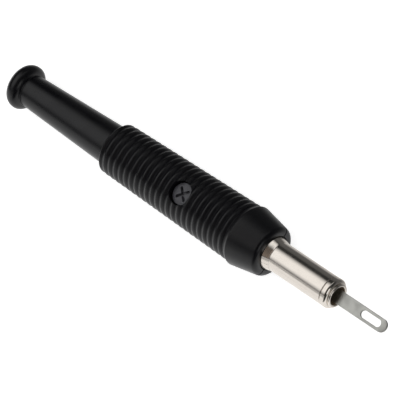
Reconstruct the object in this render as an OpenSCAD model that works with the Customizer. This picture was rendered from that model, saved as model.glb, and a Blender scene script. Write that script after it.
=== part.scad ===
// Clamp test probe with a 4 mm banana socket in its rear end. Millimetres.
// X runs along the probe from the socket to the tongue, and +Z is the side of the clamp screw.
// The origin is the centre of the socket's mouth, in the rear face of the thumb bead.

/* [Socket and plunger] */
// Bore of the socket
socket_bore = 4; // [3.6:0.1:4.4]
// Depth of the socket bore
socket_depth = 22; // [16:0.5:23]
// Wall of the metal socket sleeve at its narrow mouth
sleeve_wall = 0.6; // [0.4:0.05:0.8]
// Step by which the sleeve is thicker behind its mouth
sleeve_step = 0.22; // [0.12:0.02:0.4]
// Length of the sleeve's narrow mouth
sleeve_mouth_len = 3; // [2:0.1:4]
// Metal left between the socket bore and the rod's stud
sleeve_web = 2.8; // [1.5:0.1:4]
// Length of the rod's stud in the sleeve
stud_len = 3.2; // [2:0.1:4]
// Plastic wall round the sleeve at the thin end of the shank
shank_wall = 0.63; // [0.5:0.01:1]
// Growth of the shank's radius from the bead to the grip
shank_rise = 0.9; // [0.3:0.02:1.2]
// Length of shank seen between the bead and the grip
shank_len = 24.85; // [22:0.05:30]
// Length of the plunger inside the grip
plunger_tail = 16.75; // [16:0.25:19]
// Radius by which the thumb bead stands proud of the shank
bead_rise = 1.43; // [1:0.01:1.6]
// Rounding of the bead's rear edge
bead_rear_round = 1.95; // [1:0.05:2.1]
// Rounding of the bead's front edge
bead_front_round = 1.3; // [1.2:0.05:1.6]
// Straight band round the middle of the bead
bead_band = 0.05; // [0.05:0.05:1.5]
// Hollow fillet between the bead and the shank
bead_fillet = 0.5; // [0.4:0.05:0.8]

/* [Grip] */
// Number of ribs round the grip
rib_count = 24; // [20:1:25]
// Distance from rib to rib
rib_pitch = 1.52; // [1.45:0.01:1.6]
// Depth of the V grooves between the ribs
rib_depth = 0.28; // [0.15:0.01:0.4]
// Width of a rib's flat crest
rib_crest = 0.36; // [0.2:0.02:0.6]
// Rounding of the grip's rear edge
rear_round = 0.45; // [0.2:0.05:0.5]
// Plastic wall of the grip under the ribs, at its rear end
grip_wall = 0.88; // [0.6:0.02:1.2]
// Growth of the grip's radius from its first rib to its last
grip_rise = 0.8; // [0.3:0.05:1.2]
// Radius by which the smooth shoulder stands proud of the last rib
shoulder_rise = 0.3; // [0.1:0.05:0.7]
// Length of the smooth shoulder, from the last groove to its top
shoulder_len = 1.3; // [1.1:0.1:3]
// Rounding of the shoulder
shoulder_round = 0.9; // [0.6:0.05:1]
// Length of the tapered nose in front of the shoulder
nose_len = 7; // [6.5:0.1:9]
// Plastic wall round the ferrule in the nose's front face
nose_wall = 1.54; // [0.9:0.02:1.8]
// Rounding of the nose's front edge
nose_round = 0.9; // [0.2:0.05:1]
// Gap between the two half shells
parting_gap = 0.08; // [0.04:0.01:0.12]
// Width of the prying slits in the nose
pry_slit = 0.26; // [0.2:0.01:0.4]
// Radius of the locating pegs
peg_r = 0.6; // [0.4:0.05:0.7]
// Height of the locating pegs
peg_h = 1.1; // [0.8:0.1:1.4]

/* [Clamp screw] */
// Place of the screw, from the grip's rear end
screw_from_rear = 21.85; // [20.5:0.05:23]
// Diameter of the screw head
screw_head_d = 4.75; // [4:0.05:4.8]
// Thickness of the screw head
screw_head_h = 1; // [0.8:0.05:1.1]
// Depth of the head's top face under the ribs
screw_sink = 1.5; // [1.1:0.05:1.6]
// Diameter of the screw's shank
screw_d = 2.5; // [2:0.1:2.6]
// Width of the cross slots in the head
drive_w = 0.85; // [0.5:0.05:1]
// Depth of the cross slots in the head
drive_h = 0.5; // [0.3:0.05:0.6]
// Wall of the threaded insert round the screw
insert_wall = 0.85; // [0.6:0.05:1]
// Height of the threaded insert
insert_h = 2; // [1.4:0.1:2.2]

/* [Rod, tube and tongue] */
// Diameter of the push rod
rod_d = 4.8; // [4.6:0.1:5]
// Travel of the plunger from the tongue fully out to the eye against the mouth
travel = 10.8; // [9:0.1:11]
// Wall of the nose tube
tube_wall = 0.48; // [0.4:0.05:0.7]
// Length of tube seen in front of the nose
tube_reach = 15.6; // [13:0.05:18]
// Length of the tube held inside the nose
tube_hold = 13.8; // [13:0.1:15]
// Radius by which the tube's rear flange stands proud
flange_rise = 0.95; // [0.6:0.05:1.2]
// Thickness of the tube's rear flange
flange_t = 1.2; // [0.8:0.1:1.5]
// Wall of the ferrule at the nose's front face
ferrule_wall = 0.57; // [0.4:0.02:0.8]
// Length of the ferrule's cone in front of the nose
ferrule_cone = 1.6; // [1:0.1:2.4]
// Length of the ferrule inside the nose
ferrule_hold = 5.5; // [4:0.1:6.5]
// Length of the guide bush round the rod
rod_bush_len = 5; // [3:0.1:6]
// Radius by which the mouth bush's collar stands proud of the tube
collar_rise = 0.15; // [0.05:0.01:0.3]
// Length of the mouth bush's collar, rounding and lip
mouth_len = 2.05; // [1.8:0.1:2.6]
// Diameter of the mouth
mouth_d = 4.05; // [3.7:0.1:4.3]
// Thickness of the rolled lip round the mouth
lip_t = 0.62; // [0.45:0.01:0.7]
// Width of the dark joint between the tube and the mouth bush
joint_w = 0.14; // [0.08:0.01:0.2]
// Width of the tongue
tongue_w = 2.8; // [2.5:0.05:3.2]
// Thickness of the tongue
tongue_t = 0.5; // [0.4:0.05:0.7]
// Length of tongue seen in front of the mouth
tongue_reach = 13; // [12.4:0.1:15]
// Length of the eye
eye_len = 5.15; // [4:0.05:5.6]
// Width of the eye
eye_w = 1.6; // [1.2:0.05:1.8]
// Metal left in front of the eye
eye_front = 1.5; // [1.1:0.05:1.8]
// Length of tongue held in the rod
tongue_hold = 7.8; // [6:0.1:9]
// Radius of the tongue's rivets
rivet_r = 0.5; // [0.35:0.05:0.6]

/* [Fits] */
// Clearance between pieces that slide on each other
slide_gap = 0.05; // [0.03:0.01:0.08]
// Clearance between pieces that are seated in each other
seat_gap = 0.02; // [0.01:0.01:0.04]
// Clearance between faces and walls that pass each other
pass_gap = 0.3; // [0.2:0.05:0.35]

/* [Hidden] */
$fn = 96;
eps = 0.01;
big = 200;

// Plunger and socket, from the bore outwards
socket_r = socket_bore / 2;
sleeve_mouth_r = socket_r + sleeve_wall;
sleeve_r = sleeve_mouth_r + sleeve_step;
hollow_r = sleeve_r + seat_gap;
shank_rear_r = hollow_r + shank_wall;
shank_front_r = shank_rear_r + shank_rise;
bead_r = shank_rear_r + bead_rise;
bead_turn = acos(1 - bead_rise / (bead_front_round + bead_fillet));
bead_len = bead_rear_round + bead_band + (bead_front_round + bead_fillet) * sin(bead_turn);
grip_x = bead_len + shank_len;
taper_end_x = grip_x - pass_gap;
plunger_end_x = grip_x + plunger_tail;
plunger_chamfer = 0.3;
mouth_chamfer = 0.2;

// Rod in the plunger
rod_r = rod_d / 2;
stud_r = rod_r * 0.6;
sleeve_len = socket_depth + sleeve_web + stud_len;
rod_rear_x = sleeve_len + seat_gap;
rod_collar_len = 1.6;
clip_t = 0.7;
clip_groove_depth = 0.5;
clip_from_end = 0.8;
clip_x = plunger_end_x - clip_from_end - clip_t;
rod_collar_x = clip_x - seat_gap - rod_collar_len;
clip_split = 1.2;
ring_w = 1;
ring_depth = 0.5;
ring_x = rod_collar_x - ring_w;
ring_split = 0.5;

// Grip, from its bore outwards
guide_r = shank_front_r + slide_gap;
grip_rear_r = guide_r + grip_wall + rib_depth;
rib_lead = 0.27;
rib_zone = rib_lead + (rib_count - 0.5) * rib_pitch;
groove_slope = atan(2 * rib_depth / (rib_pitch - rib_crest));
shoulder_x = grip_x + rib_zone;
nose_x = shoulder_x + shoulder_len;
front_x = nose_x + nose_len;
shoulder_r = grip_rear_r + grip_rise + shoulder_rise;
stop_x = plunger_end_x + pass_gap;
rod_way_r = rod_r + pass_gap;

// Nose tube and its ferrule and bushes
tube_bore_r = rod_r + slide_gap + 0.3;
tube_r = tube_bore_r + tube_wall;
tube_rear_x = front_x - tube_hold;
tube_end_x = front_x + tube_reach - joint_w;
flange_r = tube_r + flange_rise;
ferrule_r = tube_r + seat_gap + ferrule_wall;
ferrule_tip_t = 0.08;
nose_front_r = ferrule_r + nose_wall;
nose_slope = atan((shoulder_r - nose_front_r) / nose_len);
rod_bush_x = tube_rear_x + flange_t;
collar_x = front_x + tube_reach;
collar_r = tube_r + collar_rise;
mouth_r = mouth_d / 2;
mouth_x = collar_x + mouth_len;
mouth_hold = 2.4;
lip_r = mouth_r + lip_t;

// Tongue in the rod
tongue_tip_x = mouth_x + tongue_reach;
rod_front_x = mouth_x - travel + pass_gap;
tongue_rear_x = rod_front_x - tongue_hold;
rivet_inset = 2;
rivet_xs = [tongue_rear_x + rivet_inset, rod_front_x - rivet_inset];
rivet_half = rod_r - 0.2;

// Clamp screw and the slot that it keeps the rod in
screw_x = grip_x + screw_from_rear;
screw_r = screw_d / 2;
head_r = screw_head_d / 2;
head_way_r = head_r + 0.2;
head_top_z = crest_r(screw_x) - screw_sink;
seat_z = head_top_z - screw_head_h;
insert_r = screw_r + insert_wall;
insert_top_z = -rod_way_r;
insert_low_z = insert_top_z - insert_h;
slot_half_w = screw_r + 0.15;
slot_rear_x = screw_x;
slot_front_x = screw_x + travel;
peg_xs = [screw_x + head_way_r + peg_r + 1.2, front_x - ferrule_hold - peg_r - 2.2];

// Radius of the rib crests at x
function crest_r(x) = grip_rear_r + grip_rise * (x - grip_x) / rib_zone;

// Points of a quarter round about [r, x] from one angle to another, 0 being outwards
function round_pts(r, x, rad, a0, a1, n = 6) =
    [for (i = [0:n]) let (a = a0 + (a1 - a0) * i / n) [r + rad * cos(a), x + rad * sin(a)]];

// Middle of rib number i, the first of which is the grip's rear edge
function rib_x(i) = grip_x + rib_lead + i * rib_pitch;

// One rib: from the bottom of the groove behind it up to its crest, and along that
function rib_pts(x) = let (top = crest_r(x), half = rib_crest / 2)
    [[top - rib_depth, x - rib_pitch / 2], [top, x - half], [top, x + half]];

// Turns a profile of [radius, place along X] points about the X axis
module turned(pts) {
    rotate([0, 90, 0]) rotate_extrude() polygon(pts);
}

// Round bar or hole along X from x0 to x1
module bar(r, x0, x1) {
    translate([x0, 0, 0]) rotate([0, 90, 0]) cylinder(r = r, h = x1 - x0);
}

// Ring along X
module ring(r_out, r_in, x0, x1) {
    difference() {
        bar(r_out, x0, x1);
        bar(r_in, x0 - eps, x1 + eps);
    }
}

// Slot with round ends along X, cut right through along Z
module long_slot(half_w, x0, x1, h) {
    translate([0, 0, -h / 2]) {
        translate([x0, 0, 0]) cylinder(r = half_w, h = h);
        translate([x1, 0, 0]) cylinder(r = half_w, h = h);
        translate([x0, -half_w, 0]) cube([x1 - x0, 2 * half_w, h]);
    }
}

// Outside of the grip: ribbed barrel, smooth shoulder and tapered nose
module grip_outside() {
    ribs = [for (i = [1:rib_count - 1]) each rib_pts(rib_x(i))];
    turned(concat(
        [[0, grip_x]],
        round_pts(crest_r(grip_x) - rear_round, grip_x + rear_round, rear_round, -90, 0, 6),
        [[crest_r(grip_x), rib_x(0) + rib_crest / 2]],
        ribs,
        [[crest_r(shoulder_x) - rib_depth, shoulder_x]],
        round_pts(shoulder_r - shoulder_round, nose_x, shoulder_round, -groove_slope, nose_slope, 6),
        round_pts(nose_front_r - nose_round, front_x - nose_round, nose_round, nose_slope, 90, 6),
        [[0, front_x]]
    ));
}

// Hollow of the grip: plunger guide, rod way, tube seat and ferrule seat
module grip_hollow() {
    bar(guide_r, grip_x - eps, stop_x);
    bar(rod_way_r, stop_x - eps, tube_rear_x);
    bar(flange_r + seat_gap, tube_rear_x - seat_gap, tube_rear_x + flange_t + seat_gap);
    bar(tube_r + seat_gap, tube_rear_x, front_x + eps);
    bar(ferrule_r + seat_gap, front_x - ferrule_hold - seat_gap, front_x + eps);
}

// Two slits in the parting line of the nose, where a blade opens the shells
module pry_slits() {
    slit_len = nose_len / 2;
    translate([front_x - slit_len, -big / 2, -pry_slit / 2]) cube([big, big, pry_slit]);
}

// Places of the locating pegs, on both sides of the bore
module at_pegs() {
    for (x = peg_xs)
        for (side = [-1, 1])
            translate([x, side * (x > tube_rear_x ? (flange_r + crest_r(x)) / 2
                : (rod_way_r + crest_r(x)) / 2 - rib_depth / 2), 0]) children();
}

module grip_upper_shell() {
    color([0.13, 0.13, 0.14]) difference() {
        grip_outside();
        grip_hollow();
        pry_slits();
        translate([-big / 2, -big / 2, parting_gap / 2 - big]) cube(big);
        translate([screw_x, 0, 0]) cylinder(r = screw_r + 0.1, h = big);
        translate([screw_x, 0, seat_z]) cylinder(r = head_way_r, h = big);
        at_pegs() cylinder(r = peg_r + slide_gap, h = peg_h + 0.2);
    }
}

module grip_lower_shell() {
    color([0.11, 0.11, 0.12]) {
        difference() {
            grip_outside();
            grip_hollow();
            pry_slits();
            translate([-big / 2, -big / 2, -parting_gap / 2]) cube(big);
            translate([screw_x, 0, insert_low_z - seat_gap]) cylinder(r = insert_r + seat_gap, h = big);
        }
        at_pegs() translate([0, 0, -peg_h]) cylinder(r = peg_r, h = 2 * peg_h);
    }
}

module clamp_screw() {
    color([0.3, 0.3, 0.32]) translate([screw_x, 0, 0]) difference() {
        union() {
            translate([0, 0, seat_z]) cylinder(r = head_r, h = screw_head_h);
            translate([0, 0, insert_low_z + seat_gap]) cylinder(r = screw_r, h = seat_z - insert_low_z);
        }
        for (a = [45, 135])
            translate([0, 0, head_top_z - drive_h]) rotate([0, 0, a])
                translate([-head_r, -drive_w / 2, 0]) cube([2 * head_r, drive_w, big]);
    }
}

module screw_insert() {
    color([0.78, 0.63, 0.3]) translate([screw_x, 0, insert_low_z]) difference() {
        cylinder(r = insert_r, h = insert_h - seat_gap);
        translate([0, 0, seat_gap]) cylinder(r = screw_r + seat_gap, h = big);
    }
}

module nose_tube() {
    color([0.8, 0.79, 0.76]) {
        difference() {
            union() {
                bar(flange_r, tube_rear_x, tube_rear_x + flange_t);
                bar(tube_r, tube_rear_x, tube_end_x);
            }
            bar(tube_bore_r, tube_rear_x - eps, tube_end_x + eps);
        }
    }
}

module tube_ferrule() {
    color([0.74, 0.72, 0.68]) turned([
        [tube_r + seat_gap, front_x - ferrule_hold],
        [ferrule_r, front_x - ferrule_hold],
        [ferrule_r, front_x],
        [tube_r + seat_gap + ferrule_tip_t, front_x + ferrule_cone],
        [tube_r + seat_gap, front_x + ferrule_cone]
    ]);
}

module rod_bush() {
    color([0.9, 0.88, 0.82])
        ring(tube_bore_r - seat_gap, rod_r + slide_gap, rod_bush_x, rod_bush_x + rod_bush_len);
}

module mouth_bush() {
    cone_x = mouth_x - lip_t * 0.7;
    color([0.8, 0.79, 0.76]) turned(concat(
        [[mouth_r, collar_x - mouth_hold], [tube_bore_r - seat_gap, collar_x - mouth_hold],
            [tube_bore_r - seat_gap, collar_x], [collar_r, collar_x]],
        round_pts(collar_r - 0.35, collar_x + 0.75, 0.35, 0, 50, 4),
        [[lip_r - 0.08, cone_x]],
        round_pts((mouth_r + lip_r) / 2, mouth_x - lip_t / 2, lip_t / 2, 0, 180, 8)
    ));
}

module plunger() {
    color([0.12, 0.12, 0.13]) difference() {
        turned(concat(
            [[0, 0]],
            round_pts(bead_r - bead_rear_round, bead_rear_round, bead_rear_round, -90, 0, 8),
            round_pts(bead_r - bead_front_round, bead_rear_round + bead_band, bead_front_round, 0,
                bead_turn, 8),
            round_pts(shank_rear_r + bead_fillet, bead_len, -bead_fillet, bead_turn, 0, 6),
            [[shank_front_r, taper_end_x],
                [shank_front_r, plunger_end_x - plunger_chamfer],
                [shank_front_r - plunger_chamfer, plunger_end_x],
                [0, plunger_end_x]]
        ));
        bar(sleeve_mouth_r + seat_gap, -eps, sleeve_mouth_len + eps);
        bar(hollow_r, sleeve_mouth_len, plunger_end_x + eps);
        ring(shank_front_r + 1, shank_front_r - ring_depth, ring_x, ring_x + ring_w);
        bar(hollow_r + clip_groove_depth, clip_x - seat_gap, clip_x + clip_t + seat_gap);
    }
}

module friction_ring() {
    color([0.25, 0.2, 0.18]) difference() {
        ring(shank_front_r + slide_gap / 2, shank_front_r - ring_depth + seat_gap,
            ring_x + seat_gap, ring_x + ring_w - seat_gap);
        translate([ring_x - 1, -ring_split / 2, 0]) cube([ring_w + 2, ring_split, big]);
    }
}

module socket_sleeve() {
    color([0.82, 0.81, 0.78]) turned([
        [socket_r, 0],
        [sleeve_mouth_r - mouth_chamfer, 0],
        [sleeve_mouth_r, mouth_chamfer],
        [sleeve_mouth_r, sleeve_mouth_len + seat_gap],
        [sleeve_r, sleeve_mouth_len + seat_gap],
        [sleeve_r, sleeve_len],
        [stud_r + seat_gap, sleeve_len],
        [stud_r + seat_gap, sleeve_len - stud_len - seat_gap],
        [0, sleeve_len - stud_len - seat_gap],
        [0, socket_depth],
        [socket_r, socket_depth]
    ]);
}

module push_rod() {
    tip_chamfer = 0.3;
    color([0.8, 0.66, 0.36]) difference() {
        union() {
            bar(stud_r, rod_rear_x - stud_len, rod_rear_x + eps);
            bar(rod_r, rod_rear_x, rod_front_x);
            bar(hollow_r - slide_gap, rod_collar_x, rod_collar_x + rod_collar_len);
        }
        long_slot(slot_half_w, slot_rear_x, slot_front_x, big);
        translate([tongue_rear_x - seat_gap, -big / 2, -tongue_t / 2 - seat_gap])
            cube([big, big, tongue_t + 2 * seat_gap]);
        for (x = rivet_xs) translate([x, 0, -big / 2]) cylinder(r = rivet_r + seat_gap, h = big);
        ring(rod_r + 1, rod_r - tip_chamfer, rod_front_x - tip_chamfer, rod_front_x + eps);
    }
}

module rod_circlip() {
    color([0.45, 0.45, 0.47]) difference() {
        ring(hollow_r + clip_groove_depth - seat_gap, rod_r + 0.1, clip_x, clip_x + clip_t);
        translate([clip_x - 1, -clip_split / 2, 0]) cube([clip_t + 2, clip_split, big]);
    }
}

module tongue() {
    half_w = tongue_w / 2;
    eye_half = eye_w / 2;
    eye_tip_x = tongue_tip_x - eye_front;
    color([0.66, 0.66, 0.65]) difference() {
        translate([0, 0, -tongue_t / 2]) union() {
            translate([tongue_rear_x, -half_w, 0])
                cube([tongue_tip_x - half_w - tongue_rear_x, tongue_w, tongue_t]);
            translate([tongue_tip_x - half_w, 0, 0]) cylinder(r = half_w, h = tongue_t);
        }
        long_slot(eye_half, eye_tip_x - eye_len + eye_half, eye_tip_x - eye_half, big);
        for (x = rivet_xs) translate([x, 0, -big / 2]) cylinder(r = rivet_r + seat_gap, h = big);
    }
}

module tongue_rivets() {
    color([0.7, 0.56, 0.32]) for (x = rivet_xs)
        translate([x, 0, -rivet_half]) cylinder(r = rivet_r, h = 2 * rivet_half, $fn = 32);
}

grip_upper_shell();
grip_lower_shell();
clamp_screw();
screw_insert();
nose_tube();
tube_ferrule();
rod_bush();
mouth_bush();
plunger();
friction_ring();
socket_sleeve();
push_rod();
rod_circlip();
tongue();
tongue_rivets();
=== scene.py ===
import math

import bmesh
import bpy
from mathutils import Matrix, Vector


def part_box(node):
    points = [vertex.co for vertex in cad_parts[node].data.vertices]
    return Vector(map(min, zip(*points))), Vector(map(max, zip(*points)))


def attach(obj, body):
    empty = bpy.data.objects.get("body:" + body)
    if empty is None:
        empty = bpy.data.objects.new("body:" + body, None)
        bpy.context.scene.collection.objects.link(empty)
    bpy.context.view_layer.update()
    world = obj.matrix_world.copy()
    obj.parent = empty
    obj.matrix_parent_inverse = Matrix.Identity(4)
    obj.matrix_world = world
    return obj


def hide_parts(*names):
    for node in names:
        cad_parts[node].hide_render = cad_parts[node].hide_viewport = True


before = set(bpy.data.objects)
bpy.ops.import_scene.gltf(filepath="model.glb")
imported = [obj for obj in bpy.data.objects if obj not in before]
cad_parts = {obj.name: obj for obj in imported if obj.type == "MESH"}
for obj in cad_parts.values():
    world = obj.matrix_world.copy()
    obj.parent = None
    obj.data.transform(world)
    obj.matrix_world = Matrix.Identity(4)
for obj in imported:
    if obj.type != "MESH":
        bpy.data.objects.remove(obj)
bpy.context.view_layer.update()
scene = bpy.context.scene
print("frame loaded:", sorted(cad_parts))

# camera: the photograph is taken from the tongue's end, high above the probe, and rolled
shot = {
    "aim": (0.05184, 0.00063, 0.0),
    "tilt": 31.5,      # degrees by which the probe leans towards the camera
    "turn": -4.0,      # degrees by which the screw is turned away from the line of sight
    "roll": 33.86,
    "distance": 1.0,
    "lens": 450,
    "sensorWidth": 36,
    "clipStart": 0.05,
    "clipEnd": 6,
}


def makeCamera():
    s = shot
    tilt = math.radians(s["tilt"])
    roll = math.radians(s["roll"])
    aboutProbe = Matrix.Rotation(math.radians(s["turn"]), 3, "X")
    alongProbe = aboutProbe @ Vector((math.cos(tilt), 0, -math.sin(tilt)))
    towardsCamera = aboutProbe @ Vector((math.sin(tilt), 0, math.cos(tilt)))
    acrossProbe = towardsCamera.cross(alongProbe)
    right = math.cos(roll) * alongProbe + math.sin(roll) * acrossProbe
    up = -math.sin(roll) * alongProbe + math.cos(roll) * acrossProbe
    lensData = bpy.data.cameras.new("productCamera")
    lensData.lens = s["lens"]
    lensData.sensor_width = s["sensorWidth"]
    lensData.clip_start = s["clipStart"]
    lensData.clip_end = s["clipEnd"]
    camera = bpy.data.objects.new("productCamera", lensData)
    stand = Matrix.Translation(Vector(s["aim"]) + towardsCamera * s["distance"])
    camera.matrix_world = stand @ Matrix((right, up, towardsCamera)).transposed().to_4x4()
    scene.collection.objects.link(camera)
    scene.camera = camera
    scene.view_settings.view_transform = "Standard"


makeCamera()
print("camera set")


# node helpers for materials and for the room's light
def newMaterial(name):
    material = bpy.data.materials.new(name)
    material.use_nodes = True
    return material, material.node_tree.nodes["Principled BSDF"]


def addNode(owner, kind, **values):
    node = owner.node_tree.nodes.new(kind)
    for key, value in values.items():
        setattr(node, key, value)
    return node


def join(owner, source, target):
    owner.node_tree.links.new(source, target)


# a socket takes a number, a colour or what another node gives
def feed(owner, value, socket):
    if isinstance(value, (int, float)):
        socket.default_value = value
    elif isinstance(value, tuple):
        socket.default_value = (*value, 1)
    else:
        join(owner, value, socket)


def mathNode(owner, operation, *values):
    node = addNode(owner, "ShaderNodeMath", operation=operation)
    for value, socket in zip(values, node.inputs):
        feed(owner, value, socket)
    return node.outputs[0]


def mixNode(owner, kind, amount, first, second):
    node = addNode(owner, "ShaderNodeMix", data_type=kind)
    join(owner, amount, node.inputs["Factor"])
    feed(owner, first, node.inputs["A"])
    feed(owner, second, node.inputs["B"])
    return node.outputs["Result"]


# a smooth step from one span of values to another
def rangeNode(owner, value, span, result):
    node = addNode(owner, "ShaderNodeMapRange", interpolation_type="SMOOTHSTEP")
    join(owner, value, node.inputs["Value"])
    for key, number in zip(("From Min", "From Max", "To Min", "To Max"), (*span, *result)):
        node.inputs[key].default_value = number
    return node.outputs["Result"]


def noiseNode(material, scale, stretch, detail, roughness):
    place = addNode(material, "ShaderNodeTexCoord")
    mapping = addNode(material, "ShaderNodeMapping")
    mapping.inputs["Scale"].default_value = stretch
    join(material, place.outputs["Object"], mapping.inputs["Vector"])
    noise = addNode(material, "ShaderNodeTexNoise")
    noise.inputs["Scale"].default_value = scale
    noise.inputs["Detail"].default_value = detail
    noise.inputs["Roughness"].default_value = roughness
    join(material, mapping.outputs["Vector"], noise.inputs["Vector"])
    return noise.outputs["Fac"]


def bumpNode(material, height, strength, distance):
    node = addNode(material, "ShaderNodeBump")
    node.inputs["Strength"].default_value = strength
    node.inputs["Distance"].default_value = distance
    join(material, height, node.inputs["Height"])
    return node.outputs["Normal"]


def objectAxes(material):
    place = addNode(material, "ShaderNodeTexCoord")
    split = addNode(material, "ShaderNodeSeparateXYZ")
    join(material, place.outputs["Object"], split.inputs["Vector"])
    return split.outputs


# place along the probe and distance from its axis, both in metres
def probePlace(material):
    axes = objectAxes(material)
    squares = mathNode(material, "ADD", mathNode(material, "POWER", axes["Y"], 2),
                       mathNode(material, "POWER", axes["Z"], 2))
    return axes["X"], mathNode(material, "SQRT", squares)


def mixShaders(material, amount, first, second):
    node = addNode(material, "ShaderNodeMixShader")
    join(material, amount, node.inputs["Fac"])
    join(material, first, node.inputs[1])
    join(material, second, node.inputs[2])
    return node.outputs[0]


# rays by which the camera sees, straight or through a clear surface, and those of reflections
def rayKinds(owner):
    path = addNode(owner, "ShaderNodeLightPath")
    seen = mathNode(owner, "MAXIMUM", path.outputs["Is Camera Ray"],
                    path.outputs["Is Transmission Ray"])
    return seen, path.outputs["Is Glossy Ray"]


middleNoise = (0.3, 0.7)      # most of a noise's values lie between these

# moulded black plastics; lengths are in metres and grains are counted per metre
plasticLook = {
    "base": (0.0030, 0.0030, 0.0044),
    "worn": (0.0058, 0.0058, 0.0070),
    "refraction": 1.47,
    "grain": {"scale": 5200, "stretch": (1, 1, 1), "detail": 3, "roughness": 0.6},
    "grainDepth": 0.000012,
    "smudge": {"scale": 130, "stretch": (1, 1.6, 1.6), "detail": 4, "roughness": 0.6},
    "wornSpan": (0.45, 0.8),              # of the smudges' noise, from clean to worn
    "wornShare": 0.5,
    "gloss": 0.38,
    "grooveShadeGloss": 0.15,                    # painted shade: reflection taken away in the depth of the grooves
    "grooveSpan": (-0.00024, -0.00005),   # rise over the crest line, from groove to flank
    "ribsEnd": 0.0001,                    # by which the grooves' painted shade fades at the shoulder
    "crestSpan": (-0.00010, 0.0),         # rise over the crest line, from flank to crest
    "crestPolish": 0.02,
    "crestWear": 0.4,
}
gripSkin = {"rough": (0.28, 0.37), "grainStrength": 0.55}
shankSkin = {"rough": (0.24, 0.33), "grainStrength": 0.30}


def mouldedPlastic(name, skin, crest=None):
    s = plasticLook
    material, shader = newMaterial(name)
    grain = noiseNode(material, **s["grain"])
    smudge = noiseNode(material, **s["smudge"])
    rough = rangeNode(material, smudge, middleNoise, skin["rough"])
    worn = rangeNode(material, smudge, s["wornSpan"], (0, s["wornShare"]))
    shader.inputs["Specular IOR Level"].default_value = s["gloss"]
    shader.inputs["IOR"].default_value = s["refraction"]
    if crest:
        along, radius = probePlace(material)
        line = mathNode(material, "MULTIPLY_ADD", along, crest["slope"], crest["start"])
        rise = mathNode(material, "SUBTRACT", radius, line)
        # painted shade: the grooves' reflections are dimmed in their depth, as the shade between
        # the ribs would darken them
        inGroove = rangeNode(material, rise, s["grooveSpan"], (1, 0))
        ribsEnd = (crest["end"] - s["ribsEnd"], crest["end"] + s["ribsEnd"])
        inRibs = rangeNode(material, along, ribsEnd, (1, 0))
        paintedGrooveShade = mathNode(material, "MULTIPLY", mathNode(material, "MULTIPLY", inGroove, inRibs),
                        s["grooveShadeGloss"])
        gloss = mathNode(material, "SUBTRACT", s["gloss"], paintedGrooveShade)
        join(material, gloss, shader.inputs["Specular IOR Level"])
        onCrest = rangeNode(material, rise, s["crestSpan"], (0, 1))
        polish = mathNode(material, "MULTIPLY", onCrest, s["crestPolish"])
        rough = mathNode(material, "SUBTRACT", rough, polish)
        wear = mathNode(material, "MULTIPLY", onCrest, s["crestWear"])
        worn = mathNode(material, "MAXIMUM", worn, wear)
    join(material, mixNode(material, "RGBA", worn, s["base"], s["worn"]),
         shader.inputs["Base Color"])
    join(material, rough, shader.inputs["Roughness"])
    join(material, bumpNode(material, grain, skin["grainStrength"], s["grainDepth"]),
         shader.inputs["Normal"])
    return material


# worked metals; the tool's marks are drawn out round the probe, or along the rolled strip
nickelLook = {
    "colour": (0.770, 0.718, 0.660),
    "shade": (0.725, 0.668, 0.605),
    "rough": (0.13, 0.20),
    "marks": {"scale": 9000, "stretch": (1, 0.02, 0.02), "detail": 3, "roughness": 0.55},
    "markDepth": 0.000003,
}
steelLook = {
    "colour": (0.50, 0.50, 0.47),
    "shade": (0.43, 0.43, 0.405),
    "rough": (0.34, 0.46),
    "marks": {"scale": 6000, "stretch": (0.12, 1, 1), "detail": 3, "roughness": 0.55},
    "markDepth": 0.000006,
}
brassLook = {
    "colour": (0.62, 0.44, 0.19),
    "shade": (0.50, 0.34, 0.14),
    "rough": (0.20, 0.30),
    "marks": {"scale": 6000, "stretch": (1, 0.05, 0.05), "detail": 3, "roughness": 0.55},
    "markDepth": 0.000003,
}
metalWear = {
    "patches": {"scale": 420, "stretch": (1, 1, 1), "detail": 5, "roughness": 0.6},
    "patchSpan": (0.35, 0.7),
    "markSpan": (0.3, 0.75),
    "markRough": (-0.02, 0.03),
    "markStrength": 0.35,
    "tarnish": (0.30, 0.235, 0.165),
    "tarnishEdge": 0.00007,         # metres over which the plate of the lip turns dull
    "tarnishMetallic": 0.3,
}


def workedMetal(name, look, boreRadius=0):
    s = metalWear
    material, shader = newMaterial(name)
    marks = noiseNode(material, **look["marks"])
    patches = noiseNode(material, **s["patches"])
    metal = mixNode(material, "RGBA", patches, look["colour"], look["shade"])
    shader.inputs["Metallic"].default_value = 1.0
    if boreRadius:      # inside the bore the plate is thin and tarnished
        edge = (boreRadius, boreRadius + s["tarnishEdge"])
        plated = rangeNode(material, probePlace(material)[1], edge, (0, 1))
        metal = mixNode(material, "RGBA", plated, s["tarnish"], metal)
        join(material, rangeNode(material, plated, (0, 1), (s["tarnishMetallic"], 1)),
             shader.inputs["Metallic"])
    join(material, metal, shader.inputs["Base Color"])
    rough = mathNode(material, "ADD", rangeNode(material, patches, s["patchSpan"], look["rough"]),
                     rangeNode(material, marks, s["markSpan"], s["markRough"]))
    join(material, rough, shader.inputs["Roughness"])
    join(material, bumpNode(material, marks, s["markStrength"], look["markDepth"]),
         shader.inputs["Normal"])
    return material


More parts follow.
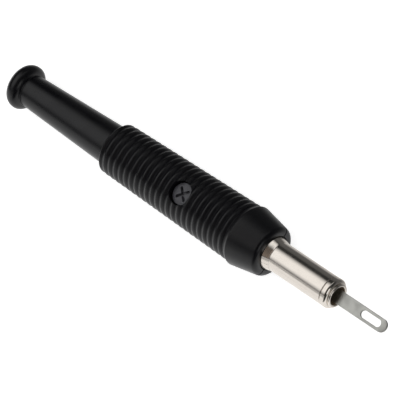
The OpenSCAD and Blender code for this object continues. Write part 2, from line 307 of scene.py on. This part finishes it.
# dull finishes of the screw, the friction ring and the rod's white bush
screwLook = {
    "base": (0.066, 0.066, 0.076),
    "worn": (0.090, 0.090, 0.102),
    "rough": (0.36, 0.48),
    "grain": {"scale": 3800, "stretch": (1, 1, 1), "detail": 4, "roughness": 0.6},
    "grainStrength": 0.4,
    "grainDepth": 0.00001,
}
rubberLook = {
    "base": (0.020, 0.018, 0.017),
    "worn": (0.03, 0.028, 0.026),
    "rough": (0.54, 0.66),
    "grain": {"scale": 2500, "stretch": (1, 1, 1), "detail": 4, "roughness": 0.6},
    "grainStrength": 0.5,
    "grainDepth": 0.00002,
}
waxLook = {
    "base": (0.74, 0.72, 0.66),
    "worn": (0.80, 0.78, 0.73),
    "rough": (0.29, 0.41),
    "grain": {"scale": 1500, "stretch": (1, 1, 1), "detail": 4, "roughness": 0.6},
    "grainStrength": 0.3,
    "grainDepth": 0.00001,
}


def dullFinish(name, look):
    material, shader = newMaterial(name)
    grains = noiseNode(material, **look["grain"])
    join(material, mixNode(material, "RGBA", grains, look["base"], look["worn"]),
         shader.inputs["Base Color"])
    join(material, rangeNode(material, grains, middleNoise, look["rough"]),
         shader.inputs["Roughness"])
    shader.inputs["IOR"].default_value = plasticLook["refraction"]
    join(material, bumpNode(material, grains, look["grainStrength"], look["grainDepth"]),
         shader.inputs["Normal"])
    return material


shankPlastic = mouldedPlastic("shankPlastic", shankSkin)
nickel = workedMetal("nickelPlate", nickelLook)
steel = workedMetal("rolledSteel", steelLook)
brass = workedMetal("turnedBrass", brassLook)
screwFinish = dullFinish("screwFinish", screwLook)
ringRubber = dullFinish("ringRubber", rubberLook)
whiteBush = dullFinish("waxyWhite", waxLook)
print("metals and plastics made")


# a node's reach along an axis, in millimetres as all sizes of pieces below
def ends(node, axis="x"):
    low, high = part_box(node)
    return getattr(low, axis) * 1000, getattr(high, axis) * 1000


def radiusOf(node):
    return ends(node, "y")[1]


fitGap = 0.02      # between pieces that fit into one another

# turning a profile; each of its corners is a place along the axis and a radius, and a round
# corner also has its rounding's reach and segments
lathe = {
    "endPiece": 0.04,      # short end pieces keep a stretch's shading straight beside round corners
    "merge": 0.0001,
    "cutMerge": 0.00001,
    "onAxis": 0.000001,
}


def profileFace(bm, corners):
    verts = [bm.verts.new((corner[0], 0, corner[1])) for corner in corners]
    bm.faces.new(verts)
    groups = {}
    for vert, corner in zip(verts, corners):
        if len(corner) > 2:
            groups.setdefault((corner[2], corner[3]), []).append(vert)
    for (rounding, segments), group in groups.items():
        bmesh.ops.bevel(bm, geom=group, offset=rounding, offset_type="OFFSET", segments=segments,
                        profile=0.5, affect="VERTICES", material=-1, clamp_overlap=True)


def holdEnds(bm):
    for edge in [e for e in bm.edges if e.calc_length() > 5 * lathe["endPiece"]]:
        first, last = edge.verts
        part = lathe["endPiece"] / edge.calc_length()
        made = bmesh.utils.edge_split(edge, first, part)[0]
        rest = edge if last in edge.verts else made
        bmesh.utils.edge_split(rest, last, part / (1 - part))


def turned(corners, steps):
    bm = bmesh.new()
    profileFace(bm, corners)
    bmesh.ops.delete(bm, geom=bm.faces[:], context="FACES_ONLY")
    holdEnds(bm)
    onAxis = [e for e in bm.edges if max(abs(v.co.z) for v in e.verts) < lathe["onAxis"]]
    bmesh.ops.delete(bm, geom=onAxis, context="EDGES")
    bmesh.ops.spin(bm, geom=bm.verts[:] + bm.edges[:], cent=(0, 0, 0), axis=(1, 0, 0),
                   angle=2 * math.pi, steps=steps, use_merge=True)
    bmesh.ops.remove_doubles(bm, verts=bm.verts, dist=lathe["merge"])
    bmesh.ops.recalc_face_normals(bm, faces=bm.faces)
    return bm


def meshObject(name, bm, material):
    mesh = bpy.data.meshes.new(name)
    bm.to_mesh(mesh)
    bm.free()
    mesh.materials.append(material)
    made = bpy.data.objects.new(name, mesh)
    scene.collection.objects.link(made)
    return made


def keepSharp(piece, angle):
    piece.data.set_sharp_from_angle(angle=math.radians(angle))


# the mesh goes from millimetres to metres, and edges that turn by more than the angle stay sharp
def finishPiece(name, bm, material, sharp=28):
    bmesh.ops.scale(bm, vec=(0.001, 0.001, 0.001), verts=bm.verts)
    piece = meshObject(name, bm, material)
    piece.data.polygons.foreach_set("use_smooth", [True] * len(piece.data.polygons))
    keepSharp(piece, sharp)
    return piece


def stands(piece, node, body):
    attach(piece, body)
    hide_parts(node)


def cutAway(piece, cutters):
    for cutter in cutters:
        cut = piece.modifiers.new("cut", "BOOLEAN")
        cut.object = cutter
        cut.operation = "DIFFERENCE"
        cut.solver = "EXACT"
    bpy.context.view_layer.update()
    whole = piece.evaluated_get(bpy.context.evaluated_depsgraph_get())
    mesh = bpy.data.meshes.new_from_object(whole)
    piece.modifiers.clear()
    piece.data = mesh
    for cutter in cutters:
        bpy.data.objects.remove(cutter)


# thumb bead and shank, one moulding
plungerSizes = {
    "beadRadius": radiusOf("plunger"),
    "rearRound": 1.95,
    "beadFrontX": 3.19,        # front corner of the bead, before it is rounded
    "frontRound": 1.12,
    "neckX": 3.57,             # where the bead's front runs into the shank
    "neckRound": 0.14,
    "shankRear": 3.475,
    "shankFront": 4.37,
    "taperEnd": ends("grip_upper_shell")[0] - 0.3,      # just behind the grip
    "endX": ends("plunger")[1],
    "endRound": 0.3,
    "clipX": ends("rod_circlip")[0] - fitGap,
    "clipWidth": 0.74,
    "ringX": ends("friction_ring")[0] - fitGap,
    "ringWidth": 1.0,
    "grooveDepth": 0.5,        # of the ring's groove and of the clip's
    "sleeveMouth": 2.62,
    "mouthRound": 0.12,
    "stepX": 3.0,              # from here on the sleeve's seat is wider
    "hollow": 2.84,
    "steps": 128,
}


def makePlunger():
    s = plungerSizes
    corners = [
        (0, s["sleeveMouth"], s["mouthRound"], 2),
        (0, s["beadRadius"], s["rearRound"], 12),
        (s["beadFrontX"], s["beadRadius"], s["frontRound"], 12),
        (s["neckX"], s["shankRear"], s["neckRound"], 6),
        (s["taperEnd"], s["shankFront"]),
        (s["ringX"], s["shankFront"]),
        (s["ringX"], s["shankFront"] - s["grooveDepth"]),
        (s["ringX"] + s["ringWidth"], s["shankFront"] - s["grooveDepth"]),
        (s["ringX"] + s["ringWidth"], s["shankFront"]),
        (s["endX"], s["shankFront"], s["endRound"], 2),
        (s["endX"], s["hollow"]),
        (s["clipX"] + s["clipWidth"], s["hollow"]),
        (s["clipX"] + s["clipWidth"], s["hollow"] + s["grooveDepth"]),
        (s["clipX"], s["hollow"] + s["grooveDepth"]),
        (s["clipX"], s["hollow"]),
        (s["stepX"], s["hollow"]),
        (s["stepX"], s["sleeveMouth"]),
    ]
    piece = finishPiece("thumbPlunger", turned(corners, s["steps"]), shankPlastic)
    stands(piece, "plunger", "plunger")


makePlunger()
print("plunger made")

# ribbed grip in two half shells
gripSizes = {
    "rearX": ends("grip_upper_shell")[0],
    "rearCut": 0.38,           # by which the first rib's rear corner is cut back
    "rearRound": 0.12,
    "guideRadius": 4.42,
    "guideRound": 0.15,
    "ribCount": 24,
    "ribPitch": 1.52,
    "ribLead": 0.27,
    "ribDepth": 0.28,
    "ribCrest": 0.24,
    "crestRound": 0.07,
    "grooveRound": 0.05,
    "firstDrop": 0.03,         # by which the first crest stays below the line of the others
    "rise": 0.8,               # growth of the crests' radius from the first rib to the last
    "shoulderRise": 0.3,
    "shoulderRadius": radiusOf("grip_upper_shell") - 0.006,
    "shoulderLength": 1.2,
    "shoulderRound": 0.32,
    "frontX": ends("grip_upper_shell")[1],
    "frontRadius": 5.36,
    "frontRound": 1.1,
    "ferruleSeatRadius": 3.84,
    "ferruleSeatRound": 0.12,
    "ferruleRearX": ends("tube_ferrule")[0] - fitGap,
    "tubeSeatRadius": 3.25,
    "tubeRearX": ends("nose_tube")[0],
    "flangeSeatRadius": 4.20,
    "flangeLength": 1.22,
    "rodWayRadius": 2.7,
    "stopX": ends("plunger")[1] + 0.3,      # the plunger stays short of it
    "gap": 0.02,               # between the two shells
    "slit": 0.26,              # the same in the nose, where it is widened
    "slitLength": 3.6,
    "slitStep": 0.08,
    "partingRound": 0.05,
    "rimDepth": 0.6,           # the outer edges of the parting face lie so near the crests,
    "noseRim": 4.5,            # beyond this radius in the nose,
    "frontRim": 4.05,          # and beyond this one in the nose's front face
    "frontSkin": 0.01,         # edges so near the front face count as its own
    "sharp": 24,
    "steps": 128,
}
ribZone = gripSizes["ribLead"] + (gripSizes["ribCount"] - 0.5) * gripSizes["ribPitch"]
rearCrest = gripSizes["shoulderRadius"] - gripSizes["rise"] - gripSizes["shoulderRise"]
crestSlope = gripSizes["rise"] / ribZone
noseX = gripSizes["rearX"] + ribZone + gripSizes["shoulderLength"]
crestLine = {      # the line along the crests, in metres, for the grip's finish
    "slope": crestSlope,
    "start": (rearCrest - crestSlope * gripSizes["rearX"]) / 1000,
    "end": (gripSizes["rearX"] + ribZone) / 1000,
}
gripPlastic = mouldedPlastic("gripPlastic", gripSkin, crestLine)


def crestRadius(x):
    return rearCrest + crestSlope * (x - gripSizes["rearX"])


def ribCorners():
    s = gripSizes
    half = s["ribCrest"] / 2
    first = s["rearX"] + s["ribLead"]
    corners = [(s["rearX"], crestRadius(s["rearX"]) - s["rearCut"], s["rearRound"], 4),
               (first + half, crestRadius(first) - s["firstDrop"], s["crestRound"], 4)]
    for i in range(1, s["ribCount"]):
        x = first + i * s["ribPitch"]
        groove = crestRadius(x) - s["ribDepth"]
        corners.append((x - s["ribPitch"] / 2, groove, s["grooveRound"], 2))
        corners.append((x - half, crestRadius(x), s["crestRound"], 4))
        corners.append((x + half, crestRadius(x), s["crestRound"], 4))
    lastGroove = s["rearX"] + ribZone
    corners.append((lastGroove, crestRadius(lastGroove) - s["ribDepth"], s["grooveRound"], 2))
    return corners


# smooth shoulder and tapered nose; a rounding's reach follows from its radius and its turn
def noseCorners():
    s = gripSizes
    noseTilt = math.atan((s["shoulderRadius"] - s["frontRadius"]) / (s["frontX"] - noseX))
    flankTilt = math.atan((s["shoulderRise"] + s["ribDepth"]) / s["shoulderLength"])
    sag = s["shoulderRound"] * (1 - math.cos(flankTilt))
    reach = s["shoulderRound"] * math.tan((flankTilt + noseTilt) / 2)
    bendX = noseX - s["shoulderRound"] * math.sin(flankTilt) + reach * math.cos(flankTilt)
    bendRadius = s["shoulderRadius"] - sag + reach * math.sin(flankTilt)
    frontReach = s["frontRound"] * math.tan((math.pi / 2 - noseTilt) / 2)
    drop = (s["frontX"] - bendX) * math.tan(noseTilt)
    return [(bendX, bendRadius, reach, 8), (s["frontX"], bendRadius - drop, frontReach, 8)]


def boreCorners():
    s = gripSizes
    return [
        (s["frontX"], s["ferruleSeatRadius"], s["ferruleSeatRound"], 2),
        (s["ferruleRearX"], s["ferruleSeatRadius"]),
        (s["ferruleRearX"], s["tubeSeatRadius"]),
        (s["tubeRearX"] + s["flangeLength"], s["tubeSeatRadius"]),
        (s["tubeRearX"] + s["flangeLength"], s["flangeSeatRadius"]),
        (s["tubeRearX"], s["flangeSeatRadius"]),
        (s["tubeRearX"], s["rodWayRadius"]),
        (s["stopX"], s["rodWayRadius"]),
        (s["stopX"], s["guideRadius"]),
    ]


def gripProfile():
    rearCorner = (gripSizes["rearX"], gripSizes["guideRadius"], gripSizes["guideRound"], 2)
    return [rearCorner] + ribCorners() + noseCorners() + boreCorners()


# edges of the parting face that lie on the grip's outside; those along its bores don't
def onOutside(edge):
    s = gripSizes
    centre = (edge.verts[0].co + edge.verts[1].co) / 2
    if centre.x <= noseX:
        return abs(centre.y) > crestRadius(centre.x) - s["rimDepth"]
    if centre.x < s["frontX"] - s["frontSkin"]:
        return abs(centre.y) > s["noseRim"]
    return abs(centre.y) > s["frontRim"]


def halfShell(side):
    s = gripSizes
    bm = turned(gripProfile(), s["steps"])
    if side < 0:
        bmesh.ops.rotate(bm, cent=(0, 0, 0), matrix=Matrix.Rotation(math.pi, 3, "X"),
                         verts=bm.verts)
    slitX = s["frontX"] - s["slitLength"]
    parting = side * s["gap"] / 2
    for x in (slitX, slitX + s["slitStep"]):
        bmesh.ops.bisect_plane(bm, geom=bm.verts[:] + bm.edges[:] + bm.faces[:],
                               dist=lathe["cutMerge"], plane_co=(x, 0, 0), plane_no=(1, 0, 0))
    bmesh.ops.bisect_plane(bm, geom=bm.verts[:] + bm.edges[:] + bm.faces[:],
                           dist=lathe["cutMerge"], plane_co=(0, 0, parting),
                           plane_no=(0, 0, side), clear_inner=True)
    for vert in bm.verts:
        if abs(vert.co.z - parting) < lathe["merge"] and vert.co.x > slitX + s["slitStep"] / 2:
            vert.co.z = side * s["slit"] / 2
    openEdges = [e for e in bm.edges if e.is_boundary]
    filled = bmesh.ops.holes_fill(bm, edges=openEdges, sides=0)["faces"]
    rim = dict.fromkeys(e for face in filled for e in face.edges if onOutside(e))
    bmesh.ops.bevel(bm, geom=list(rim), offset=s["partingRound"], offset_type="OFFSET",
                    segments=2, profile=0.5, affect="EDGES", material=-1, clamp_overlap=True)
    bmesh.ops.recalc_face_normals(bm, faces=bm.faces)
    return bm


# clamp screw: a cheese head with a cross recess, set into the upper shell
screwSizes = {
    "x": sum(ends("clamp_screw")) / 2,
    "endZ": ends("clamp_screw", "z")[0],
    "seatZ": ends("clamp_screw", "z")[1] - 1.0,      # under the head
    "topZ": ends("clamp_screw", "z")[1],
    "recess": 2.575,           # radius of its way into the upper shell
    "head": 2.375,
    "headRound": 0.16,
    "shank": 1.25,
    "holeRadius": 1.35,
    "holeZ": (0.5, 8),         # from inside the rod's way to over the seat
    "clearZ": 12,              # above everything
    "barLength": 3.3,
    "barHeight": 2,            # of the cutter
    "bar": 0.62,
    "barRound": 0.25,
    "barDepth": 0.8,
    "barAngles": (45, 135),
    "sharp": 30,
    "softEdge": 0.00006,       # metres
    "softAngle": 40,
    "pocketRadius": radiusOf("screw_insert") + fitGap,      # the insert's, in the lower shell
    "pocketZ": (ends("screw_insert", "z")[0] - fitGap, -1.5),
}


def cylinderCutter(name, radius, z0, z1, segments):
    bm = bmesh.new()
    bmesh.ops.create_cone(bm, cap_ends=True, segments=segments, radius1=radius, radius2=radius,
                          depth=z1 - z0)
    bmesh.ops.translate(bm, vec=(screwSizes["x"], 0, (z0 + z1) / 2), verts=bm.verts)
    return finishPiece(name, bm, gripPlastic)


def makeShell(name, side, node, cutters):
    shell = finishPiece(name, halfShell(side), gripPlastic, gripSizes["sharp"])
    cutAway(shell, [cylinderCutter(*cutter) for cutter in cutters])
    keepSharp(shell, gripSizes["sharp"])
    stands(shell, node, "grip")


def makeGrip():
    s = screwSizes
    makeShell("upperShell", 1, "grip_upper_shell",
              [("recessCut", s["recess"], s["seatZ"], s["clearZ"], 96),
               ("holeCut", s["holeRadius"], *s["holeZ"], 48)])
    makeShell("lowerShell", -1, "grip_lower_shell",
              [("pocketCut", s["pocketRadius"], *s["pocketZ"], 48)])


makeGrip()
print("grip made")


# one bar of the cross, cut down from the head's top
def crossBar(angle):
    s = screwSizes
    bm = bmesh.new()
    bmesh.ops.create_cube(bm, size=1)
    half = s["barHeight"] / 2
    bmesh.ops.scale(bm, vec=(s["barLength"], s["bar"], s["barHeight"]), verts=bm.verts)
    upright = [e for e in bm.edges if abs(e.verts[0].co.z - e.verts[1].co.z) > half]
    bmesh.ops.bevel(bm, geom=upright, offset=s["barRound"], segments=4, profile=0.5,
                    affect="EDGES", material=-1)
    bmesh.ops.rotate(bm, cent=(0, 0, 0), matrix=Matrix.Rotation(math.radians(angle), 3, "Z"),
                     verts=bm.verts)
    bmesh.ops.translate(bm, vec=(s["x"], 0, s["topZ"] - s["barDepth"] + half), verts=bm.verts)
    return finishPiece("crossCut", bm, screwFinish)


def makeScrew():
    s = screwSizes
    bm = bmesh.new()
    bmesh.ops.create_cone(bm, cap_ends=True, segments=96, radius1=s["head"], radius2=s["head"],
                          depth=s["topZ"] - s["seatZ"])
    top = [e for e in bm.edges if all(v.co.z > 0 for v in e.verts)]
    bmesh.ops.bevel(bm, geom=top, offset=s["headRound"], segments=3, profile=0.5,
                    affect="EDGES", material=-1)
    bmesh.ops.translate(bm, vec=(s["x"], 0, (s["topZ"] + s["seatZ"]) / 2), verts=bm.verts)
    made = bmesh.ops.create_cone(bm, cap_ends=True, segments=48, radius1=s["shank"],
                                 radius2=s["shank"], depth=s["seatZ"] - s["endZ"])
    bmesh.ops.translate(bm, vec=(s["x"], 0, (s["seatZ"] + s["endZ"]) / 2), verts=made["verts"])
    piece = finishPiece("clampScrewHead", bm, screwFinish)
    cutAway(piece, [crossBar(angle) for angle in s["barAngles"]])
    keepSharp(piece, s["sharp"])
    soften = piece.modifiers.new("softEdges", "BEVEL")
    soften.width = s["softEdge"]
    soften.segments = 2
    soften.limit_method = "ANGLE"
    soften.angle_limit = math.radians(s["softAngle"])
    soften.harden_normals = True
    stands(piece, "clamp_screw", "grip")


makeScrew()
print("screw made")

# nose tube, ferrule and mouth bush, all turned and nickel plated
tubeSizes = {
    "radius": 3.23,
    "bore": 2.75,
    "rearX": ends("nose_tube")[0],
    "flange": 4.18,
    "flangeLength": 1.2,
    "flangeRound": 0.1,
    "endX": ends("nose_tube")[1],
    "endRound": 0.13,
    "steps": 128,
}
ferruleSizes = {
    "radius": 3.82,
    "seat": 3.236,
    "rearX": ends("tube_ferrule")[0],
    "rearRound": 0.1,
    "flareX": gripSizes["frontX"] - 0.4,      # from here the flare falls to the tube
    "flareRound": 0.25,
    "tipX": ends("tube_ferrule")[1],
    "toeLength": 0.2,          # of the last stretch, which lies down on the tube
    "toeHeight": 0.05,
    "toeRound": 0.15,
    "tipHeight": 0.014,
}
mouthSizes = {
    "holdX": ends("mouth_bush")[0],
    "holdRadius": 2.73,
    "collarX": ends("mouth_bush")[1] - 2.05,      # the tube ends just behind it
    "collar": 3.28,
    "shoulder": 1.50,          # end of the collar's rounded shoulder
    "shoulderRound": 0.72,
    "neck": 2.44,
    "edgeRound": 0.03,
    "mouthX": ends("mouth_bush")[1],
    "bore": 2.025,
    "lip": 2.645,
    "lipLength": 0.44,
    "lipRearRound": 0.06,
    "lipRound": 0.3038,        # nearly half of the lip's thickness
    "tarnishRadius": 0.00205,      # metres
}
mouthNickel = workedMetal("mouthPlate", nickelLook, mouthSizes["tarnishRadius"])


def makeTube():
    s = tubeSizes
    flangeX = s["rearX"] + s["flangeLength"]
    corners = [
        (s["rearX"], s["bore"]),
        (s["rearX"], s["flange"], s["flangeRound"], 2),
        (flangeX, s["flange"], s["flangeRound"], 2),
        (flangeX, s["radius"]),
        (s["endX"], s["radius"], s["endRound"], 4),
        (s["endX"], s["bore"]),
    ]
    piece = finishPiece("noseTube", turned(corners, s["steps"]), nickel)
    stands(piece, "nose_tube", "grip")


def makeFerrule():
    s = ferruleSizes
    corners = [
        (s["rearX"], s["seat"]),
        (s["rearX"], s["radius"], s["rearRound"], 2),
        (s["flareX"], s["radius"], s["flareRound"], 5),
        (s["tipX"] - s["toeLength"], s["seat"] + s["toeHeight"], s["toeRound"], 4),
        (s["tipX"], s["seat"] + s["tipHeight"]),
        (s["tipX"], s["seat"]),
    ]
    piece = finishPiece("tubeFerrule", turned(corners, tubeSizes["steps"]), nickel)
    stands(piece, "tube_ferrule", "grip")


def makeMouth():
    s = mouthSizes
    shoulderX = s["collarX"] + s["shoulder"]
    corners = [
        (s["holdX"], s["bore"]),
        (s["holdX"], s["holdRadius"]),
        (s["collarX"], s["holdRadius"]),
        (s["collarX"], s["collar"], s["edgeRound"], 2),
        (shoulderX, s["collar"], s["shoulderRound"], 12),
        (shoulderX, s["neck"], s["edgeRound"], 2),
        (s["mouthX"] - s["lipLength"], s["lip"], s["lipRearRound"], 3),
        (s["mouthX"], s["lip"], s["lipRound"], 8),
        (s["mouthX"], s["bore"], s["lipRound"], 8),
    ]
    piece = finishPiece("mouthBush", turned(corners, tubeSizes["steps"]), mouthNickel)
    stands(piece, "mouth_bush", "grip")


makeTube()
makeFerrule()
makeMouth()
print("tube, ferrule and mouth made")

# metal socket in the bead, for a plug of 4 mm
socketSizes = {
    "bore": 2.0,
    "depth": 22.0,
    "mouth": 2.6,
    "mouthRound": 0.14,
    "stepX": 3.02,             # behind it the sleeve is wider, as its seat is
    "body": 2.82,
    "length": 28.0,
    "endRound": 0.15,
    "stud": 1.46,
    "studX": 24.78,            # bottom of the blind hole for the rod's stud
    "steps": 96,
}


def makeSocket():
    s = socketSizes
    corners = [
        (0, s["bore"], s["mouthRound"], 3),
        (0, s["mouth"], s["mouthRound"], 3),
        (s["stepX"], s["mouth"]),
        (s["stepX"], s["body"]),
        (s["length"], s["body"], s["endRound"], 2),
        (s["length"], s["stud"]),
        (s["studX"], s["stud"]),
        (s["studX"], 0),
        (s["depth"], 0),
        (s["depth"], s["bore"]),
    ]
    piece = finishPiece("socketSleeve", turned(corners, s["steps"]), nickel)
    stands(piece, "socket_sleeve", "plunger")


makeSocket()
print("socket made")

# sliding tongue with its eye
tongueSizes = {
    "rearX": ends("tongue")[0],
    "tipX": ends("tongue")[1],
    "width": 2.8,
    "thick": 0.5,
    "eyeLength": 5.15,
    "eyeWidth": 1.6,
    "eyeFront": 1.5,           # metal left between the eye and the tip
    "rivets": (ends("tongue_rivets")[0] + 0.5, ends("tongue_rivets")[1] - 0.5),      # centres
    "rivetHole": 0.52,
    "edge": 0.07,
    "roundShare": 0.9995,      # of half the width, so that two roundings don't quite touch
    "rimAngle": 1.2,           # radians; the rims turn by more, the flat and round faces by less
    "sharp": 35,
}


# flat outline with a round front end, and with a round rear end too where it is a hole
def roundedStrip(bm, x0, x1, halfWidth, segments, isHole=True):
    corners = [(x0, -halfWidth), (x1, -halfWidth), (x1, halfWidth), (x0, halfWidth)]
    verts = [bm.verts.new((x, y, 0)) for x, y in corners]
    bm.faces.new(verts)
    bmesh.ops.bevel(bm, geom=verts if isHole else verts[1:3], segments=segments, profile=0.5,
                    offset=halfWidth * tongueSizes["roundShare"], affect="VERTICES", material=-1)


def makeTongue():
    s = tongueSizes
    bm = bmesh.new()
    roundedStrip(bm, s["rearX"], s["tipX"], s["width"] / 2, 20, isHole=False)
    eyeX = s["tipX"] - s["eyeFront"]
    roundedStrip(bm, eyeX - s["eyeLength"], eyeX, s["eyeWidth"] / 2, 12)
    for x in s["rivets"]:
        roundedStrip(bm, x - s["rivetHole"], x + s["rivetHole"], s["rivetHole"], 6)
    bmesh.ops.delete(bm, geom=bm.faces[:], context="FACES_ONLY")
    bmesh.ops.remove_doubles(bm, verts=bm.verts, dist=lathe["merge"])
    bmesh.ops.triangle_fill(bm, edges=bm.edges[:], use_beauty=True, use_dissolve=False,
                            normal=(0, 0, 1))
    bmesh.ops.translate(bm, vec=(0, 0, -s["thick"] / 2), verts=bm.verts)
    made = bmesh.ops.extrude_face_region(bm, geom=bm.faces[:])["geom"]
    bmesh.ops.translate(bm, vec=(0, 0, s["thick"]),
                        verts=[v for v in made if isinstance(v, bmesh.types.BMVert)])
    bmesh.ops.recalc_face_normals(bm, faces=bm.faces)
    rims = [e for e in bm.edges if e.is_manifold and e.calc_face_angle(0) > s["rimAngle"]]
    bmesh.ops.bevel(bm, geom=rims, offset=s["edge"], segments=3, profile=0.5, affect="EDGES",
                    material=-1)
    piece = finishPiece("slidingTongue", bm, steel, s["sharp"])
    flat = piece.modifiers.new("flatShading", "WEIGHTED_NORMAL")
    flat.weight = 100
    flat.keep_sharp = True
    stands(piece, "tongue", "plunger")


makeTongue()
print("tongue made")

# pieces kept from the frame take their finishes here
keptFinishes = {
    "screw_insert": brass,
    "rod_bush": whiteBush,
    "friction_ring": ringRubber,
    "push_rod": brass,
    "rod_circlip": steel,
    "tongue_rivets": brass,
}
for node, finish in keptFinishes.items():
    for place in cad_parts[node].material_slots:
        place.material = finish
print("inner pieces finished")

# white table, tilted so that the bead and the grip's shoulder both rest on it; its own X and Y
# start at the shoulder and at the probe's axis
tableLook = {
    "size": 3.0,
    "shoulderX": 0.0662,
    "beadX": 0.0023,
    "gap": 0.00002,
    "white": (0.82, 0.82, 0.82),
    "roughness": 0.9,
    "gloss": 0.1,
    "seen": 0.72,                    # its own glow, which only the camera sees
    "reflectedGlowAndShade": (1.03, 0.12),       # its glow in reflections: plain white on the lit side, a painted shade on the far side
    "acrossSpan": (-0.002, 0.022),   # from the one to the other
    "mouthSpan": (0.018, 0.032),     # from here on, towards the tongue, the far side's painted shade comes nearer
    "mouthReach": 0.012,             # by this
}


def makeTable():
    s = tableLook
    shoulder = Vector((s["shoulderX"], 0, -gripSizes["shoulderRadius"] / 1000))
    bead = Vector((s["beadX"], 0, -plungerSizes["beadRadius"] / 1000))
    slope = (shoulder.z - bead.z) / (shoulder.x - bead.x)
    material, shader = newMaterial("studioPaper")
    shader.inputs["Base Color"].default_value = (*s["white"], 1)
    shader.inputs["Roughness"].default_value = s["roughness"]
    shader.inputs["Specular IOR Level"].default_value = s["gloss"]
    shader.inputs["Emission Color"].default_value = (1, 1, 1, 1)
    seen, glossy = rayKinds(material)
    join(material, mathNode(material, "MULTIPLY", seen, s["seen"]),
         shader.inputs["Emission Strength"])
    axes = objectAxes(material)
    nearer = rangeNode(material, axes["X"], s["mouthSpan"], (0, s["mouthReach"]))
    across = mathNode(material, "ADD", axes["Y"], nearer)
    # painted shade: in reflections the table glows white on the probe's lit side and is dimmed on
    # its far side, where the probe's shade would lie
    mirrorGlowWithShade = addNode(material, "ShaderNodeEmission")
    join(material, rangeNode(material, across, s["acrossSpan"], s["reflectedGlowAndShade"]),
         mirrorGlowWithShade.inputs["Strength"])
    paper = mixShaders(material, glossy, shader.outputs[0], mirrorGlowWithShade.outputs[0])
    below = addNode(material, "ShaderNodeNewGeometry")      # seen from below, the table is clear
    clear = addNode(material, "ShaderNodeBsdfTransparent")
    oneSided = mixShaders(material, below.outputs["Backfacing"], paper, clear.outputs[0])
    join(material, oneSided, material.node_tree.nodes["Material Output"].inputs["Surface"])
    bm = bmesh.new()
    bmesh.ops.create_grid(bm, x_segments=1, y_segments=1, size=s["size"] / 2)
    table = meshObject("studioFloor", bm, material)
    table.matrix_world = (Matrix.Translation(shoulder - Vector((0, 0, s["gap"])))
                          @ Matrix.Rotation(-math.atan(slope), 4, "Y"))


# the room is white to the camera, and dimmer to the probe
roomLook = {
    "diffuse": 0.55,
    "gloss": 0.035,      # in reflections
}


def makeRoom():
    room = bpy.data.worlds.new("studioRoom")
    scene.world = room
    room.use_nodes = True
    background = room.node_tree.nodes["Background"]
    seen, glossy = rayKinds(room)
    dim = mixNode(room, "FLOAT", glossy, roomLook["diffuse"], roomLook["gloss"])
    background.inputs["Color"].default_value = (1, 1, 1, 1)
    join(room, mixNode(room, "FLOAT", seen, dim, 1.0), background.inputs["Strength"])


# glowing cards: a card's width lies along the probe, and its glow fades towards its edges;
# the fades are shares of the width at its two ends and of the height at its foot and its top
middle = (0.055, 0, 0)
plain, warm = (1, 1, 1), (1.10, 0.91, 0.78)
canopyTurn = -8      # degrees by which the canopy is turned about the probe, to its far side
canopyCards = {
    "keyCard": {"centre": (-0.245, -0.08, 0.51), "aim": (0.055, -0.08, 0), "size": (0.54, 1.30),
                "strength": 1.13, "fades": (0.10, 0.14, 0.36, 0.41), "tint": plain},
    "sideCard": {"centre": (-0.145, -0.75, 0.34), "aim": middle, "size": (1.0, 0.46),
                 "strength": 0.52, "fades": (0.1, 0.1, 0.2, 0.1), "tint": plain},
    "stripCard": {"centre": (0.05, 0.37, 0.51), "aim": middle, "size": (0.12, 0.84),
                  "strength": 1.20, "fades": (0.2, 0.2, 0.35, 0.45), "tint": plain},
    "dimCard": {"centre": (0.05, -0.19, 0.58), "aim": middle, "size": (0.12, 0.92),
                "strength": 0.24, "fades": (0.2, 0.2, 0.22, 0.12), "tint": warm},
    "rearCard": {"centre": (-0.045, 0.70, 0.10), "aim": middle, "size": (0.9, 0.30),
                 "strength": 0.10, "fades": (0.1, 0.1, 0.5, 0.05), "tint": plain},
}
standingCards = {
    "frontCard": {"centre": (-0.2, -0.42, 0.105), "aim": (-0.1, 0, 0.02), "size": (0.75, 0.24),
                  "strength": 1.0, "fades": (0.1, 0.15, 0.12, 0.1), "tint": plain},
    "endCard": {"centre": (0.60, -0.04, 0.30), "aim": middle, "size": (0.35, 0.42),
                "strength": 1.5, "fades": (0.2, 0.2, 0.2, 0.2), "tint": plain},
}


def cardGlow(name, card):
    material = bpy.data.materials.new(name)
    material.use_nodes = True
    material.node_tree.nodes.clear()
    output = addNode(material, "ShaderNodeOutputMaterial")
    glow = addNode(material, "ShaderNodeEmission")
    join(material, glow.outputs[0], output.inputs["Surface"])
    axes = objectAxes(material)
    level = card["strength"]
    edges = (("X", -1), ("X", 1), ("Y", -1), ("Y", 1))
    for (axis, sign), fade in zip(edges, card["fades"]):
        outwards = mathNode(material, "MULTIPLY", axes[axis], sign)
        edge = rangeNode(material, outwards, (0.5 - fade, 0.5), (1, 0))
        level = mathNode(material, "MULTIPLY", edge, level)
    join(material, level, glow.inputs["Strength"])
    glow.inputs["Color"].default_value = (*card["tint"], 1)
    return material


def lightCard(name, card, turn):
    centre = turn @ Vector(card["centre"])
    back = (turn @ Vector(card["aim"]) - centre).normalized()
    side = Vector((1, 0, 0)) - back * back.x
    side.normalize()
    top = back.cross(side)
    width, height = card["size"]
    bm = bmesh.new()
    bmesh.ops.create_grid(bm, x_segments=1, y_segments=1, size=0.5)
    made = meshObject(name, bm, cardGlow(name, card))
    made.matrix_world = Matrix.Translation(centre) @ Matrix(
        (side * width, top * height, back)).transposed().to_4x4()
    made.visible_camera = False
    made.visible_shadow = False


makeTable()
makeRoom()
canopy = Matrix.Rotation(math.radians(canopyTurn), 3, "X")
for name, card in canopyCards.items():
    lightCard(name, card, canopy)
for name, card in standingCards.items():
    lightCard(name, card, Matrix.Identity(3))
print("studio made")
